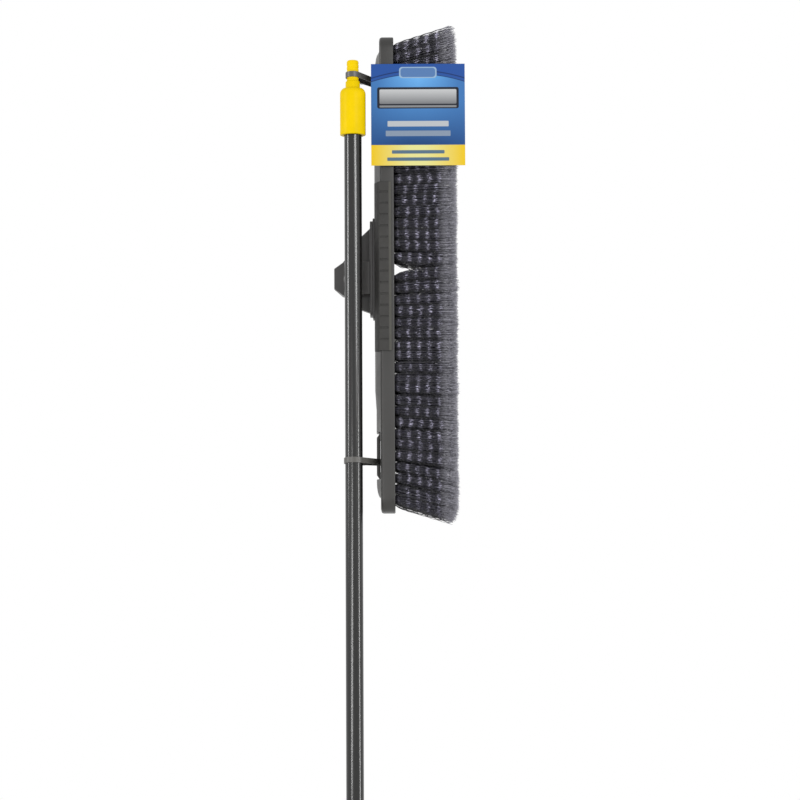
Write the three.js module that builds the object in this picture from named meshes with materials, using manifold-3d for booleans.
// Push broom with a moulded block, five rows of crimped bristle, a slanted two-way handle socket,
// a loose steel handle tied alongside with two straps, and a folded card label round the head.
//
// Millimetres. +Z runs along the block and the handle, +X is the way the bristles point, and -Y is the
// side that the handle lies on. Shapes are worked out in the block's own frame, where X = 0 is the
// bristle face, Y = 0 and Z = 0 are the block's middle, and the whole head then moves so that the
// origin is under the middle of the upper tie bar.
import * as THREE from 'three';
import { mergeVertices } from 'three/addons/utils/BufferGeometryUtils.js';
import Module from 'manifold-3d';

const wasm = await Module();
wasm.setup();

// ---------------------------------------------------------------- driving dimensions
const gap = 0.3;                    // clearance between pieces that touch

// block
const blockLength = 610;
const blockWidth = 70;
const blockCorner = 18;             // corner radius seen from the bristle side
const rimHeight = 18;               // bristle face to the top of the side wall
const floorThickness = 9;
const rimWall = 4;                  // side wall beside the cover
const rimRound = 3.5;               // rounding of the side wall's top edge
const faceRound = 1.5;              // rounding of the edge round the bristle face
const ledgeWidth = 4;               // step that the cover rests on, inside the rim wall
const coverFlange = 3;              // depth of the cover's edge below the rim
const ribThickness = 3;
const ribSpacing = 70;

// cover
const crownRiseMiddle = 7;          // top of the cover above the rim, middle of the block
const crownRiseEnds = 5.4;          // the same beside the tie bars
const crownHalfTop = 12;            // half width of the cover's flat top
const coverShoulder = 20;           // half width where the cover's slope steepens
const shoulderDrop = 2.4;           // how far the shoulder lies below the crown
const coverSkin = 3;
const middleZoneHalf = 150;         // half length of the higher middle of the cover
const crownSlope = 25;              // length over which the crown drops from its middle to its end height
const coverTail = 19.5;             // flat stretch at each end of the block, level with the rim
const coverTailRise = 0.4;          // its height above the rim
const coverTailCurve = 18.5;        // length over which the crown rounds down to it
const hollowStart = 78;             // block middle to the hollows beside the socket's seat

// tie bars near both ends, for a strap or a display hook
const tieBarInset = 64.5;           // end of the block to the origin of each bar, near the middle of its length
const tieBarInner = 37;             // that origin to the bar's end towards the middle of the block
const tieBarOuter = 22.5;           // and to its other end
const tieBarHalfWidth = 4.5;
const tieBarThickness = 4;
const tieBarShoulder = 6;           // length over which the bar drops at each end
const notchRise = 0.5;              // floor of the finger notch above the rim
const pocketHalfWidth = 14;
const pocketMargin = 7;             // end of a bar to the end of the pocket under it

// side pads
const padLength = 216;
const padSkin = 1.9;
const padLowEdge = 3.6;             // bristle face to the pad's lower edge
const padRibPitch = 14.5;
const padGroove = 2.2;
const padGrooveDepth = 0.9;
const padTopThickness = 2.3;

// socket
const centreOffset = 7;             // pads and socket flange sit this far above the block's middle
const flangeLength = 129;
const flangeHalfWidth = 19;
const flangeThickness = 6.8;
const flangeBevel = 3.6;
const seatDepth = 1;
const bossRise = 45.9;              // flange top to the top of the boss
const bossBaseHalfWidth = 17;
const bossNearSide = 15.5;          // block mid plane to the boss's side at its shoulder
const bossShoulder = 14;            // flange top to that shoulder
const webHalfWidth = 6;             // the gussets above and below the boss
const coreHalfLength = 21;
const bossNoseOffset = -5.5;        // the boss leans towards the lower end of the block
const bossBaseLength = 110;
const bossWaistLength = 94.6;
const bossWaist = 10.7;             // flange top to the waist, where the sides turn steeper
const bossBaseRise = 5.3;
const bossWaistRise = 1.8;
const barrelRadius = 13;
const barrelReach = 13;             // block mid plane to the middle of the mouth
const barrelLength = 30;
const boreRadius = 9.3;
const boreDepth = 28;
const socketSlant = THREE.MathUtils.degToRad(35);

// screws
const screwRadius = 2;
const screwHeadRadius = 3.8;
const screwHeadHeight = 2.4;
const screwTipRise = 1.5;           // floor of the block to the screws' points
const screwBossRadius = 4.6;
const coverScrewMiddle = 110;       // block middle to the nearest pair of cover screws
const coverScrewBeside = 13.5;      // end of a tie bar to the next pair
const coverScrewInset = 13;         // end of the block to the last pair
const socketScrewReach = 53;
const socketScrewSide = 12.4;

// bristles
const rowMargin = 9;                // side of the block to the middle of the outer rows
const rowPitch = 13;
const rowThickness = 8.6;
const tuftMargin = 15.9;            // end of the block to the middle of the outer tufts
const tuftPitch = 14.1;
const tuftRoot = 9;
const tuftTip = 12.6;
const trimLength = 79;
const endLean = THREE.MathUtils.degToRad(17);
const leanPower = 2.6;              // how quickly the lean falls away from the ends
const rowFlare = 0.05;              // sideways spread from one row to the next, per unit of trim
const grooveDepth = 6;
const rowStrip = 2;                 // solid strip that joins a row's tufts inside its groove
const wireRadius = 0.8;

// handle
const handleLength = 1524;
const tubeRadius = 11.1;
const tubeWall = 0.7;
const handleBesideBoss = 6.4;       // side of the socket's boss to the tube
const handleAboveCover = 27;        // top of the cover to the handle's axis
const handleTopInset = 33.2;        // end of the block to the tip of the connector
const tipLength = 35.8;
const tipRadius = 7.6;
const tipRootRadius = 9.2;
const tipStep = 9;                  // shoulder to where the tip turns narrower
const threadPitch = 5.08;
const threadDepth = 0.45;
const sleeveWall = 4.9;
const sleeveLength = 60.8;          // connector sleeve, rounded shoulder included
const shoulderHeight = 8;
const tubeInsertion = 46;           // how far the tube reaches into the sleeve
const plugLength = 26;
const plugWall = 3;
const capWall = 1.2;
const capLength = 58;
const capSolid = 27;                // solid end of the cap, which holds the hang hole
const capHoleRadius = 4.5;
const capHoleRise = 14;             // end of the cap to the middle of its hole

// ties
const tieThickness = 1.3;
const tieWidth = 7;
const tieHead = [9, 5.5, 5];
const upperTieInset = 19.2;         // tip of the connector to the middle of the strap round it
const upperTieFall = 4.5;           // from the connector's tip to the tie bar
const tieDip = 0.08;                // fall of the loop from the handle's side to the far side

// label
const labelHeight = 131;
const labelInset = 39.1;            // end of the block to the label's top edge
const labelPastCover = 5.2;         // top of the cover beside the tie bars to the label's open edge
const labelPastTips = 11.9;         // bristle tips to the label's fold
const labelClearance = 0.8;         // side of the bristle tips to the card
const cardThickness = 0.8;
const labelBackShort = 16;          // lower edge of the back panel above that of the front

// ---------------------------------------------------------------- derived places
const halfLength = blockLength / 2;
const halfWidth = blockWidth / 2;
const ledgeHeight = rimHeight - coverFlange;
const crownMiddle = rimHeight + crownRiseMiddle;
const crownEnds = rimHeight + crownRiseEnds;
const notchFloor = rimHeight + notchRise;
const screwTipHeight = floorThickness + screwTipRise;
const coverHalfWidth = halfWidth - rimWall - gap;
const coverHalfLength = halfLength - rimWall - gap;
const coverUnderside = ledgeHeight + gap;
const seatHeight = crownMiddle - seatDepth;
const flangeUnderside = seatHeight + gap;
const flangeTop = flangeUnderside + flangeThickness;
const bossHeight = flangeTop + bossRise;
const bossWaistHeight = flangeTop + bossWaist;
const tieBarReach = halfLength - tieBarInset;
const rowCount = 1 + Math.floor((blockWidth - 2 * rowMargin) / rowPitch);
const tuftCount = 1 + Math.floor((blockLength - 2 * tuftMargin) / tuftPitch);
const handleSide = -(bossNearSide + handleBesideBoss + tubeRadius);
const handleStandOff = crownMiddle + handleAboveCover;
const handleTop = halfLength - handleTopInset;
const upperTieHeight = handleTop - upperTieInset;
const lowerTieHeight = -tieBarReach;
const tipsSide = rowPitch * (rowCount - 1) / 2 * (1 + rowFlare * trimLength / rowPitch) + rowThickness / 2;
const labelSide = tipsSide + labelClearance;
const labelLowX = -(crownEnds + labelPastCover);
const labelHighX = trimLength + labelPastTips;
const labelTop = halfLength - labelInset;
const handleBottom = handleTop - handleLength;
const sleeveRadius = tubeRadius + gap + sleeveWall;
const capRadius = tubeRadius + gap + capWall;
const sleeveTop = handleTop - tipLength;
const sleeveBottom = sleeveTop - sleeveLength;
const tubeTop = sleeveBottom + tubeInsertion;
const tubeBottom = handleBottom + capSolid + gap;
const tieBarTop = crownEnds;
const tieBarUnderside = tieBarTop - tieBarThickness;
const mouthHeight = bossHeight - barrelRadius * Math.sin(socketSlant);

// ---------------------------------------------------------------- materials
const plastic = (color, roughness) => new THREE.MeshStandardMaterial({ color, roughness, metalness: 0 });
const materials = {
  block: plastic(0x42403c, 0.6),
  cover: plastic(0x4a4843, 0.55),
  pad: plastic(0x3b3a37, 0.75),
  socket: plastic(0x4c4a46, 0.5),
  bristle: plastic(0x2f3238, 0.55),
  steel: new THREE.MeshStandardMaterial({ color: 0x9a9a98, roughness: 0.35, metalness: 1 }),
  paint: new THREE.MeshStandardMaterial({ color: 0x141311, roughness: 0.12, metalness: 0.1 }),
  yellow: plastic(0xffda00, 0.4),
  cap: plastic(0x1b1b1b, 0.5),
  tie: plastic(0x56544f, 0.45),
  card: plastic(0x2f6fc4, 0.6),
};

// ---------------------------------------------------------------- geometry helpers
const along = {
  x: new THREE.Matrix4().makeBasis(
    new THREE.Vector3(0, 1, 0),
    new THREE.Vector3(0, 0, 1),
    new THREE.Vector3(1, 0, 0),
  ),
  y: new THREE.Matrix4().makeRotationX(Math.PI / 2),
  z: new THREE.Matrix4(),
};

function shapeFrom(points) {
  return new THREE.Shape(points.map(([u, v]) => new THREE.Vector2(u, v)));
}

// A prism of an outline. The outline is in (Y, Z) along x, in (X, Z) along y, and in (X, Y) along z.
function prism(shape, axis, low, high, curveSegments = 6) {
  const options = { depth: high - low, bevelEnabled: false, curveSegments };
  const geometry = new THREE.ExtrudeGeometry(shape, options);
  geometry.applyMatrix4(along[axis]);
  const shift = { x: [low, 0, 0], y: [0, high, 0], z: [0, 0, low] }[axis];
  return geometry.translate(...shift);
}

// A slab of a (Y, Z) outline between two X heights, with its outer edges rounded at both heights.
function roundedSlab(shape, low, high, round) {
  const options = {
    depth: high - low - 2 * round,
    bevelThickness: round,
    bevelSize: round,
    bevelOffset: -round,
    bevelSegments: 4,
    curveSegments: 6,
  };
  const geometry = new THREE.ExtrudeGeometry(shape, options);
  geometry.applyMatrix4(along.x);
  return geometry.translate(low + round, 0, 0);
}

function box(lowX, highX, lowY, highY, lowZ, highZ) {
  const geometry = new THREE.BoxGeometry(highX - lowX, highY - lowY, highZ - lowZ);
  return geometry.translate((lowX + highX) / 2, (lowY + highY) / 2, (lowZ + highZ) / 2);
}

function roundedRectangle(halfU, halfV, radius) {
  const shape = new THREE.Shape();
  shape.absarc(halfU - radius, halfV - radius, radius, 0, Math.PI / 2);
  shape.absarc(radius - halfU, halfV - radius, radius, Math.PI / 2, Math.PI);
  shape.absarc(radius - halfU, radius - halfV, radius, Math.PI, 1.5 * Math.PI);
  shape.absarc(halfU - radius, radius - halfV, radius, 1.5 * Math.PI, 2 * Math.PI);
  return shape;
}

// A cylinder along X whose axis passes through (y, z).
function peg(radius, lowX, highX, y, z, sides = 16) {
  const geometry = new THREE.CylinderGeometry(radius, radius, highX - lowX, sides);
  geometry.rotateZ(Math.PI / 2);
  return geometry.translate((lowX + highX) / 2, y, z);
}

// A solid of revolution about Z from points [radius, z] that start and end on the axis or close.
function turned(points, sides = 32) {
  const profile = points.map(([radius, z]) => new THREE.Vector2(radius, z));
  return new THREE.LatheGeometry(profile, sides).rotateX(Math.PI / 2);
}

// A closed skin through rings of equal point count, with flat ends; rings are lists of [x, y, z].
function loft(rings) {
  const count = rings[0].length;
  const positions = rings.flat(2);
  const index = [];
  for (let ring = 0; ring + 1 < rings.length; ring += 1) {
    for (let point = 0; point < count; point += 1) {
      const next = (point + 1) % count;
      const low = ring * count;
      const high = low + count;
      index.push(low + point, low + next, high + next);
      index.push(low + point, high + next, high + point);
    }
  }
  const outline = rings[0].map(([x, y]) => new THREE.Vector2(x, y));
  const last = (rings.length - 1) * count;
  for (const [a, b, c] of THREE.ShapeUtils.triangulateShape(outline, [])) {
    index.push(a, c, b);
    index.push(last + a, last + b, last + c);
  }
  const geometry = new THREE.BufferGeometry();
  geometry.setAttribute('position', new THREE.Float32BufferAttribute(positions, 3));
  geometry.setIndex(index);
  return geometry;
}

function solid(geometry) {
  const bare = geometry.clone();
  bare.deleteAttribute('normal');
  bare.deleteAttribute('uv');
  const merged = mergeVertices(bare, 1e-4);
  const vertProperties = new Float32Array(merged.attributes.position.array);
  const triVerts = new Uint32Array(merged.index.array);
  return new wasm.Manifold(new wasm.Mesh({ numProp: 3, vertProperties, triVerts }));
}

function cut(body, geometries) {
  return geometries.reduce((left, geometry) => left.subtract(solid(geometry)), body);
}

function join(body, geometries) {
  return geometries.reduce((whole, geometry) => whole.add(solid(geometry)), body);
}

function surface(manifold) {
  const mesh = manifold.getMesh();
  const geometry = new THREE.BufferGeometry();
  geometry.setAttribute('position', new THREE.BufferAttribute(mesh.vertProperties, 3));
  geometry.setIndex(new THREE.BufferAttribute(mesh.triVerts, 1));
  return geometry;
}

const head = new THREE.Group();

function place(name, geometry, material) {
  const mesh = new THREE.Mesh(geometry, material);
  mesh.name = name;
  head.add(mesh);
}

const bothSides = [1, -1];

// ---------------------------------------------------------------- screws and their holes
// Each screw is [name, y, z, height of the surface that its head sinks into].
function coverHeightAt(z) {
  const reach = Math.abs(z);
  if (reach > halfLength - coverTail) return rimHeight;
  return reach > middleZoneHalf ? crownEnds : crownMiddle;
}

const coverScrewReach = [
  coverScrewMiddle,
  tieBarReach - tieBarInner - coverScrewBeside,
  halfLength - coverScrewInset,
];
const coverScrews = coverScrewReach.flatMap((reach, row) => bothSides.map((side) => {
  const label = `cover_screw_${row * 2 + (side > 0 ? 1 : 2)}`;
  return [label, 0, side * reach, coverHeightAt(reach)];
}));

const socketScrews = bothSides.flatMap((end, row) => bothSides.map((side, column) => {
  const label = `socket_screw_${row * 2 + column + 1}`;
  return [label, side * socketScrewSide, centreOffset + end * socketScrewReach, flangeTop];
}));

function screw([name, y, z, topHeight]) {
  const top = topHeight - gap;
  const neck = top - screwHeadHeight;
  const points = [
    [0, screwTipHeight],
    [screwRadius * 0.4, screwTipHeight],
    [screwRadius, screwTipHeight + screwRadius],
    [screwRadius, neck],
    [screwHeadRadius, neck],
    [screwHeadRadius, top - screwHeadHeight * 0.4],
    [screwHeadRadius * 0.6, top],
    [0, top],
  ];
  const geometry = turned(points, 14);
  geometry.rotateY(-Math.PI / 2);
  place(name, geometry.translate(0, y, z), materials.steel);
}

function screwHole([, y, z, topHeight]) {
  const shank = peg(screwRadius + gap, -topHeight - 1, -screwTipHeight + gap, y, z);
  const sink = topHeight - screwHeadHeight - 2 * gap;
  const headRoom = peg(screwHeadRadius + gap, -topHeight - 1, -sink, y, z);
  return [shank, headRoom];
}

// ---------------------------------------------------------------- block body
function blockBody() {
  const outline = roundedRectangle(halfWidth, halfLength, blockCorner);
  let body = solid(roundedSlab(outline, -rimHeight, -rimHeight + 3 * rimRound, rimRound));
  body = join(body, [roundedSlab(outline, -rimHeight + rimRound, 0, faceRound)]);
  const seat = roundedRectangle(halfWidth - rimWall, halfLength - rimWall, blockCorner - rimWall);
  const inset = rimWall + ledgeWidth;
  const hollow = roundedRectangle(halfWidth - inset, halfLength - inset, blockCorner - inset);
  body = cut(body, [
    prism(seat, 'x', -rimHeight - 1, -ledgeHeight),
    prism(hollow, 'x', -rimHeight - 1, -floorThickness),
  ]);
  const ribs = [];
  const ribReach = halfWidth - inset + 1;
  for (let z = ribSpacing; z < tieBarReach - tieBarInner; z += ribSpacing) {
    for (const side of bothSides) {
      const low = side * z - ribThickness / 2;
      ribs.push(box(-ledgeHeight, -floorThickness + 1, -ribReach, ribReach, low, low + ribThickness));
    }
  }
  const screws = [...coverScrews, ...socketScrews];
  const bosses = screws.map(([, y, z]) => peg(screwBossRadius, -ledgeHeight, 1 - floorThickness, y, z));
  body = join(body, [...ribs, ...bosses]);
  body = cut(body, screws.flatMap(screwHole));
  body = cut(body, rowMiddles().map((y) => grooveFor(y)));
  place('block_body', surface(body), materials.block);
}

// ---------------------------------------------------------------- cover with its tie bars
function coverRing(z, crown) {
  const rise = crown - rimHeight;
  const shoulder = rimHeight + Math.max(rise - shoulderDrop, rise * 0.5);
  const upper = [
    [-coverUnderside, coverHalfWidth],
    [-rimHeight, coverHalfWidth],
    [-shoulder, coverShoulder],
    [-crown, crownHalfTop],
  ];
  const lower = upper.map(([x, y]) => [x, -y]).reverse();
  return [...upper, ...lower].map(([x, y]) => [x, y, z]);
}

function coverHollow(lowZ, highZ, crown) {
  const roof = crown - coverSkin;
  const reach = coverShoulder - coverSkin;
  const low = coverUnderside - 1;
  const outline = [
    [-low, -reach],
    [-low, reach],
    [-roof + shoulderDrop, reach],
    [-roof, crownHalfTop - coverSkin],
    [-roof, coverSkin - crownHalfTop],
    [-roof + shoulderDrop, -reach],
  ];
  return prism(shapeFrom(outline), 'z', lowZ, highZ);
}

// A bar along Z past z, from low before it to high after it.
function tieBar(z, low, high) {
  const footHeight = notchFloor - 1;
  const flatLow = z - low + tieBarShoulder;
  const flatHigh = z + high - tieBarShoulder;
  const outline = [
    [-footHeight, z - low - 1],
    [-notchFloor, z - low - 1],
    [-tieBarTop, flatLow],
    [-tieBarTop, flatHigh],
    [-notchFloor, z + high + 1],
    [-footHeight, z + high + 1],
    [-footHeight, z + high - pocketMargin - 1],
    [-tieBarUnderside, flatHigh - tieBarThickness],
    [-tieBarUnderside, flatLow + tieBarThickness],
    [-footHeight, z - low + pocketMargin + 1],
  ];
  return prism(shapeFrom(outline), 'y', -tieBarHalfWidth, tieBarHalfWidth);
}

// [Z, crown height] down the rounded end of the cover, from its flat tail to full height.
function tailCurve(low) {
  const steps = 5;
  const curve = [];
  for (let step = 0; step <= steps; step += 1) {
    const turn = (step / steps) * (Math.PI / 2);
    const z = halfLength - coverTail - coverTailCurve * (1 - Math.cos(turn));
    curve.push([z, low + (crownEnds - low) * Math.sin(turn)]);
  }
  return curve;
}

function blockCover() {
  const tailHeight = rimHeight + coverTailRise;
  const stations = [
    [coverHalfLength + 1, tailHeight],
    ...tailCurve(tailHeight),
    [middleZoneHalf + crownSlope, crownEnds],
    [middleZoneHalf, crownMiddle],
  ];
  const above = stations.map(([z, crown]) => coverRing(z, crown)).reverse();
  const below = stations.map(([z, crown]) => coverRing(-z, crown));
  let cover = solid(loft([...below, ...above]));
  const outline = roundedRectangle(coverHalfWidth, coverHalfLength, blockCorner - rimWall - gap);
  cover = cover.intersect(solid(prism(outline, 'x', -crownMiddle - 5, 0)));
  const hollows = [];
  for (const side of bothSides) {
    const far = middleZoneHalf + crownSlope;
    const lowZ = Math.min(side * hollowStart, side * far);
    hollows.push(coverHollow(lowZ, lowZ + far - hollowStart, crownEnds));
  }
  hollows.push(coverHollow(-socketScrewReach / 2, socketScrewReach / 2, crownMiddle - seatDepth));
  cover = cut(cover, hollows);
  const notchSide = coverHalfWidth + 1;
  for (const side of bothSides) {
    const z = side * tieBarReach;
    const [low, high] = side > 0 ? [tieBarInner, tieBarOuter] : [tieBarOuter, tieBarInner];
    const pocketLow = z - low + pocketMargin;
    const pocketHigh = z + high - pocketMargin;
    cover = cut(cover, [
      box(-40, -notchFloor, -notchSide, notchSide, z - low, z + high),
      box(-40, 0, -pocketHalfWidth, pocketHalfWidth, pocketLow, pocketHigh),
    ]);
    cover = join(cover, [tieBar(z, low, high)]);
  }
  const bosses = coverScrews.map(([, y, z, top]) => peg(screwBossRadius, -top + 1, -coverUnderside, y, z));
  cover = join(cover, bosses);
  const seatHalf = flangeLength / 2 + gap;
  const seatSide = flangeHalfWidth + gap;
  const seat = box(-40, -seatHeight, -seatSide, seatSide, centreOffset - seatHalf, centreOffset + seatHalf);
  cover = cut(cover, [seat, ...coverScrews.flatMap(screwHole), ...socketScrews.flatMap(screwHole)]);
  place('block_cover', surface(cover), materials.cover);
}

// ---------------------------------------------------------------- side pads
function sidePad(name, side) {
  const inside = halfWidth + gap;
  const outside = inside + padSkin;
  const rim = rimHeight + gap;
  const shoulder = crownMiddle - shoulderDrop + gap;
  const edge = coverShoulder + gap;
  const outline = [
    [-padLowEdge, inside],
    [-padLowEdge, outside],
    [-rim - 0.6, outside],
    [-rim - padTopThickness, inside - 1.4],
    [-shoulder - padTopThickness, edge + 1.2],
    [-shoulder - padTopThickness, edge],
    [-shoulder, edge],
    [-rim, halfWidth - rimWall + gap],
    [-rim, inside],
  ];
  const sided = outline.map(([x, y]) => [x, side * y]);
  const low = centreOffset - padLength / 2;
  let pad = solid(prism(shapeFrom(side > 0 ? sided.reverse() : sided), 'z', low, low + padLength));
  const grooves = [];
  const face = side * (outside - padGrooveDepth);
  const far = side * (outside + 2);
  for (let z = low + padRibPitch; z < low + padLength - padGroove; z += padRibPitch) {
    const [lowY, highY] = [Math.min(face, far), Math.max(face, far)];
    grooves.push(box(-rim, -padLowEdge - 4.2, lowY, highY, z - padGroove / 2, z + padGroove / 2));
  }
  place(name, surface(cut(pad, grooves)), materials.pad);
}

// ---------------------------------------------------------------- handle socket
const mouth = new THREE.Vector3(-mouthHeight, barrelReach, bossNoseOffset);
const outward = new THREE.Vector3(-Math.cos(socketSlant), Math.sin(socketSlant), 0);

// A cylinder on the bore's axis, between two distances from the mouth; positive is outside.
function slanted(radius, from, to, sides) {
  const geometry = new THREE.CylinderGeometry(radius, radius, to - from, sides);
  const turn = new THREE.Quaternion().setFromUnitVectors(new THREE.Vector3(0, 1, 0), outward);
  geometry.applyQuaternion(turn);
  const middle = mouth.clone().addScaledVector(outward, (from + to) / 2);
  return geometry.translate(middle.x, middle.y, middle.z);
}

// The boss seen from the side: a nose as wide as the barrel, then a waist and a long foot.
function bossOutline() {
  const foot = -flangeTop + 1;
  const cheek = -mouthHeight + barrelRadius * Math.sin(socketSlant) / 2;
  return shapeFrom([
    [foot, bossBaseRise - bossBaseLength / 2],
    [foot, bossBaseRise + bossBaseLength / 2],
    [-bossWaistHeight, bossWaistRise + bossWaistLength / 2],
    [cheek, bossNoseOffset + coreHalfLength],
    [-bossHeight, bossNoseOffset + barrelRadius],
    [-bossHeight, bossNoseOffset - barrelRadius],
    [cheek, bossNoseOffset - coreHalfLength],
    [-bossWaistHeight, bossWaistRise - bossWaistLength / 2],
  ].reverse());
}

function bossCore() {
  const foot = -flangeTop + 1;
  const rimX = barrelRadius * Math.sin(socketSlant);
  const rimY = barrelRadius * Math.cos(socketSlant);
  const section = [
    [foot, -bossBaseHalfWidth],
    [foot, bossBaseHalfWidth],
    [-mouthHeight + rimX, barrelReach + rimY],
    [-mouthHeight - rimX, barrelReach - rimY],
    [-flangeTop - bossShoulder, -bossNearSide],
  ];
  const low = bossNoseOffset - coreHalfLength;
  const core = solid(prism(shapeFrom(section.reverse()), 'z', low, low + 2 * coreHalfLength));
  return core.intersect(solid(prism(bossOutline(), 'y', -60, 60)));
}

function handleSocket() {
  const half = flangeLength / 2;
  const plate = roundedRectangle(flangeHalfWidth, half, 8);
  let socket = solid(prism(plate, 'x', -flangeTop + flangeBevel, -flangeUnderside).translate(0, 0, centreOffset));
  const upper = roundedRectangle(flangeHalfWidth - flangeBevel / 2, half - flangeBevel, 7);
  socket = join(socket, [
    prism(upper, 'x', -flangeTop, -flangeUnderside).translate(0, 0, centreOffset),
    prism(bossOutline(), 'y', -webHalfWidth, webHalfWidth),
    slanted(barrelRadius, -barrelLength, 0, 24),
  ]).add(bossCore());
  const beyondMouth = slanted(3 * barrelRadius, 0, 40, 24);
  const bore = slanted(boreRadius, -boreDepth, 20, 24);
  socket = cut(socket, [beyondMouth, bore, ...socketScrews.flatMap(screwHole)]);
  place('handle_socket', surface(socket), materials.socket);
}

// ---------------------------------------------------------------- bristle rows and their anchor wires
function rowMiddles() {
  const middles = [];
  for (let row = 0; row < rowCount; row += 1) {
    middles.push((row - (rowCount - 1) / 2) * rowPitch);
  }
  return middles;
}

const rowRootHalf = ((tuftCount - 1) * tuftPitch + tuftRoot) / 2;

function grooveFor(y) {
  const side = rowThickness / 2 + gap + grooveDepth * rowFlare;
  const end = rowRootHalf + gap + grooveDepth * Math.tan(endLean);
  return box(-grooveDepth, 1, y - side, y + side, -end, end);
}

function bristleRow(name, y) {
  const stripTop = 2 * wireRadius + 2 * gap - grooveDepth;
  const stripBase = stripTop + rowStrip;
  const outline = [[stripTop, -rowRootHalf]];
  for (let tuft = 0; tuft < tuftCount; tuft += 1) {
    const z = (tuft - (tuftCount - 1) / 2) * tuftPitch;
    if (Math.abs(z - centreOffset) < tuftPitch / 2) continue;     // daylight shows here in the photo
    const reach = z / rowRootHalf;
    const lean = Math.sign(reach) * endLean * Math.abs(reach) ** leanPower;
    const tipZ = z + (trimLength + grooveDepth) * Math.tan(lean);
    outline.push([stripBase, z - tuftRoot / 2]);
    outline.push([trimLength, tipZ - tuftTip / 2]);
    outline.push([trimLength, tipZ + tuftTip / 2]);
    outline.push([stripBase, z + tuftRoot / 2]);
  }
  outline.push([stripTop, rowRootHalf]);
  const row = prism(shapeFrom(outline.reverse()), 'y', y - rowThickness / 2, y + rowThickness / 2);
  const flare = rowFlare * y / rowPitch;
  const position = row.attributes.position;
  for (let index = 0; index < position.count; index += 1) {
    const reach = Math.max(position.getX(index), 0);
    position.setY(index, position.getY(index) + flare * reach);
  }
  place(name, row, materials.bristle);
}

function anchorWire(name, y) {
  const low = -rowRootHalf + gap;
  const wire = new THREE.CylinderGeometry(wireRadius, wireRadius, 2 * -low, 8);
  wire.rotateX(Math.PI / 2);
  place(name, wire.translate(-grooveDepth + wireRadius + gap, y, 0), materials.steel);
}

// ---------------------------------------------------------------- handle
function handleTube() {
  const inner = tubeRadius - tubeWall;
  const points = [
    [inner, tubeBottom],
    [tubeRadius, tubeBottom],
    [tubeRadius, tubeTop],
    [inner, tubeTop],
    [inner, tubeBottom],
  ];
  const tube = turned(points, 36);
  place('handle_tube', tube.translate(-handleStandOff, handleSide, 0), materials.paint);
}

// The wall of a cup that holds the tube's end: a skirt outside the tube and a plug inside it.
function handleConnector() {
  const skirtInner = tubeRadius + gap;
  const plugOuter = tubeRadius - tubeWall - gap;
  const plugInner = plugOuter - plugWall;
  const slotTop = tubeTop + gap;
  const plugBottom = slotTop - plugLength;
  const shoulder = sleeveTop - shoulderHeight;
  const points = [
    [0, slotTop],
    [plugInner, slotTop],
    [plugInner, plugBottom],
    [plugOuter, plugBottom],
    [plugOuter, slotTop],
    [skirtInner, slotTop],
    [skirtInner, sleeveBottom],
    [sleeveRadius - 0.6, sleeveBottom],
    [sleeveRadius, sleeveBottom + 0.6],
    [sleeveRadius, shoulder],
    [sleeveRadius - 0.7, shoulder + shoulderHeight * 0.4],
    [sleeveRadius - 3, shoulder + shoulderHeight * 0.75],
    [tipRootRadius, sleeveTop],
  ];
  const threadTop = handleTop - 3.5;
  const turns = Math.floor((threadTop - sleeveTop - 2) / threadPitch);
  for (let turn = 0; turn < turns; turn += 1) {
    const z = sleeveTop + 2 + turn * threadPitch;
    const crest = z - sleeveTop < tipStep ? tipRootRadius : tipRadius;
    points.push([crest - threadDepth, z]);
    points.push([crest, z + threadPitch * 0.25]);
    points.push([crest, z + threadPitch * 0.6]);
    points.push([crest - threadDepth, z + threadPitch * 0.85]);
  }
  points.push([tipRadius - threadDepth, threadTop]);
  points.push([tipRadius * 0.7, handleTop - 0.9]);
  points.push([tipRadius * 0.35, handleTop]);
  points.push([0, handleTop]);
  const connector = turned(points, 32);
  place('threaded_connector', connector.translate(-handleStandOff, handleSide, 0), materials.yellow);
}

function hangCap() {
  const skirtInner = tubeRadius + gap;
  const plugOuter = tubeRadius - tubeWall - gap;
  const plugInner = plugOuter - plugWall;
  const slotBottom = handleBottom + capSolid;
  const plugTop = slotBottom + plugLength;
  const top = handleBottom + capLength;
  const points = [
    [0, handleBottom],
    [capRadius * 0.5, handleBottom],
    [capRadius * 0.85, handleBottom + 2],
    [capRadius, handleBottom + 7],
    [capRadius, top - 1],
    [skirtInner + 0.6, top],
    [skirtInner, top],
    [skirtInner, slotBottom],
    [plugOuter, slotBottom],
    [plugOuter, plugTop],
    [plugInner, plugTop],
    [plugInner, slotBottom],
    [0, slotBottom],
  ];
  const hole = new THREE.CylinderGeometry(capHoleRadius, capHoleRadius, 4 * capRadius, 20);
  const cap = cut(solid(turned(points, 32)), [hole.translate(0, 0, handleBottom + capHoleRise)]);
  const geometry = surface(cap).translate(-handleStandOff, handleSide, 0);
  place('hang_cap', geometry, materials.cap);
}

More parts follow.
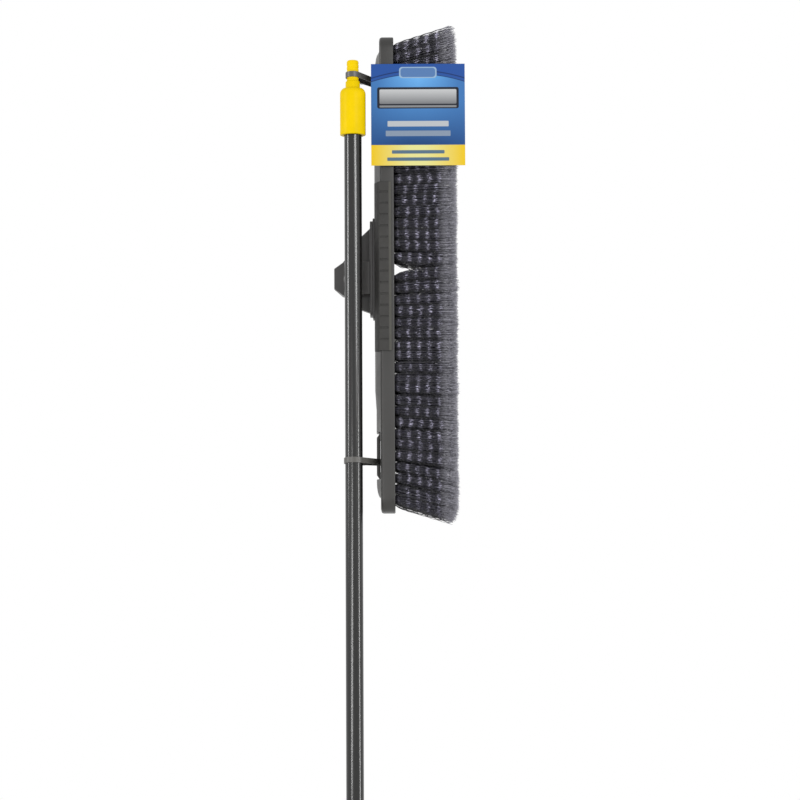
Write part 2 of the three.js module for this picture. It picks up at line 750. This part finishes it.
// ---------------------------------------------------------------- ties
// A strap round the handle and a tie bar: half circles round both, joined by straight stretches.
function strapPath(handleRadius, handleZ, barZ) {
  const handle = new THREE.Vector2(-handleStandOff, handleSide);
  const bar = new THREE.Vector2(-(tieBarTop + tieBarUnderside) / 2, 0);
  const barRadius = Math.hypot(tieBarThickness / 2, tieBarHalfWidth) + gap + tieThickness / 2;
  const loopRadius = handleRadius + gap + tieThickness / 2;
  const span = bar.clone().sub(handle);
  const heading = span.angle();
  const lean = Math.acos((loopRadius - barRadius) / span.length());
  const points = [];
  const arc = (middle, radius, start, end, steps, height) => {
    for (let step = 0; step <= steps; step += 1) {
      const angle = start + (end - start) * step / steps;
      const x = middle.x + radius * Math.cos(angle);
      const y = middle.y + radius * Math.sin(angle);
      const normal = [Math.cos(angle), Math.sin(angle)];
      points.push({ x, y, z: height - tieDip * (y - handle.y), normal });
    }
  };
  arc(handle, loopRadius, heading + lean, heading + 2 * Math.PI - lean, 20, handleZ);
  arc(bar, barRadius, heading - lean, heading + lean, 12, barZ + tieDip * -handleSide);
  return points;
}

function strap(name, handleRadius, handleZ, barZ) {
  const path = strapPath(handleRadius, handleZ, barZ);
  const corner = (point, out, up) => [
    point.x + out * tieThickness / 2 * point.normal[0],
    point.y + out * tieThickness / 2 * point.normal[1],
    point.z + up * tieWidth / 2,
  ];
  const positions = path.flatMap((point) => [
    ...corner(point, -1, -1),
    ...corner(point, 1, -1),
    ...corner(point, 1, 1),
    ...corner(point, -1, 1),
  ]);
  const index = [];
  for (let step = 0; step < path.length; step += 1) {
    const here = step * 4;
    const next = ((step + 1) % path.length) * 4;
    for (let side = 0; side < 4; side += 1) {
      const other = (side + 1) % 4;
      index.push(here + side, next + side, next + other);
      index.push(here + side, next + other, here + other);
    }
  }
  const geometry = new THREE.BufferGeometry();
  geometry.setAttribute('position', new THREE.Float32BufferAttribute(positions, 3));
  geometry.setIndex(index);
  const [length, width, depth] = tieHead;
  const last = path[20];
  const first = path[21];
  const farSide = path[0];
  const farBar = path[path.length - 1];
  const middle = new THREE.Vector3(
    (farSide.x + farBar.x) / 2,
    (farSide.y + farBar.y) / 2,
    (farSide.z + farBar.z) / 2,
  );
  const headBox = new THREE.BoxGeometry(length, depth, width + 2);
  headBox.rotateZ(Math.atan2(first.y - last.y, first.x - last.x));
  headBox.translate(middle.x, middle.y, middle.z);
  place(name, surface(join(solid(geometry), [headBox])), materials.tie);
}

// ---------------------------------------------------------------- folded card label
function label() {
  const lowX = labelLowX;
  const highX = labelHighX;
  const bottom = labelTop - labelHeight;
  const outside = labelSide + cardThickness;
  place(
    'label_front',
    box(lowX, highX, -outside, -labelSide, bottom, labelTop),
    materials.card,
  );
  const outline = [
    [highX - cardThickness, gap - labelSide],
    [highX, gap - labelSide],
    [highX, outside],
    [lowX, outside],
    [lowX, labelSide],
    [highX - cardThickness, labelSide],
  ];
  place('label_back', prism(shapeFrom(outline), 'z', bottom + labelBackShort, labelTop), materials.card);
}

// ---------------------------------------------------------------- assembly
blockBody();
blockCover();
sidePad('side_pad_near', -1);
sidePad('side_pad_far', 1);
handleSocket();
[...coverScrews, ...socketScrews].forEach(screw);
rowMiddles().forEach((y, row) => bristleRow(`bristle_row_${row + 1}`, y));
rowMiddles().forEach((y, row) => anchorWire(`anchor_wire_${row + 1}`, y));
handleTube();
handleConnector();
hangCap();
strap('tie_upper', tipRadius, upperTieHeight, upperTieHeight - upperTieFall);
strap('tie_lower', tubeRadius, lowerTieHeight, lowerTieHeight);
label();

// The whole model moves so that the origin is under the middle of the upper tie bar.
head.position.set(tieBarUnderside, 0, -tieBarReach);
const group = new THREE.Group();
group.add(head);

export default group;
